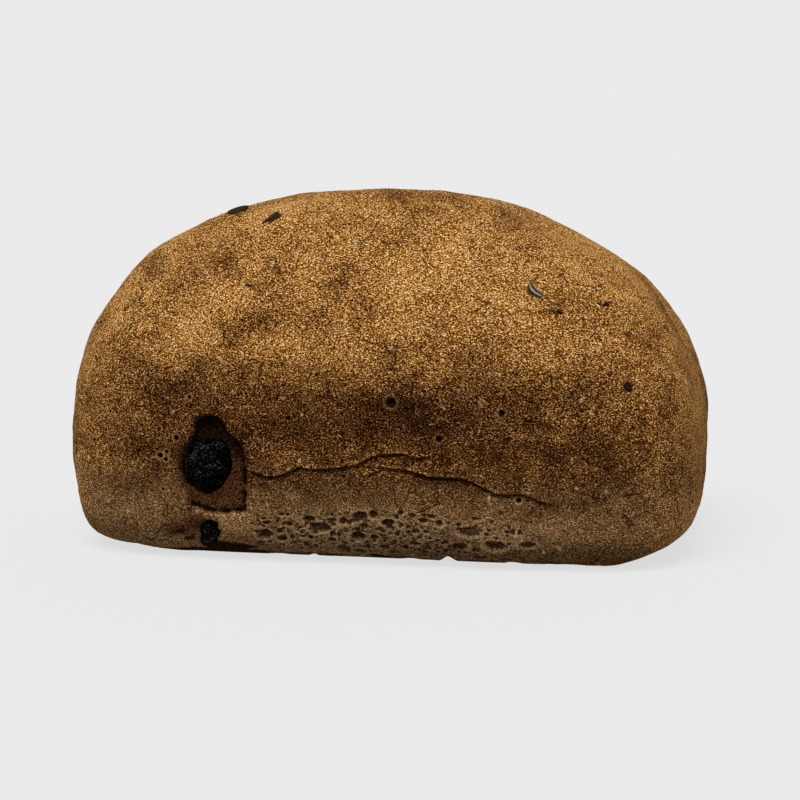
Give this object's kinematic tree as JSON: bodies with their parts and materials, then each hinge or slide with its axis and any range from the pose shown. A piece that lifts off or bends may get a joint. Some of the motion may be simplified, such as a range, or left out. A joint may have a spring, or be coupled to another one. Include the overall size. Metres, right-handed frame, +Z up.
{
  "type": "bread roll",
  "caption": "Tall oval bread roll with a flat foot, torn lower front, scorched raisins and caraway seeds in a grainy brown crust.",
  "frame": {"origin": "middle of the flat foot that the roll was baked on", "axes": "+X along the roll's length, -Y is the torn front with the raisins, +Z up"},
  "size_m": [0.1305, 0.0873, 0.0722],
  "materials": {
    "crust": "matt, finely wrinkled brown bread crust, browned in patches and greyer low down",
    "raisin": "wrinkled, scorched almost black, with a dull sheen"
  },
  "bodies": {
    "root": {"bread": "crust", "raisin_front": "raisin", "raisin_base": "raisin"}
  },
  "joints": []
}
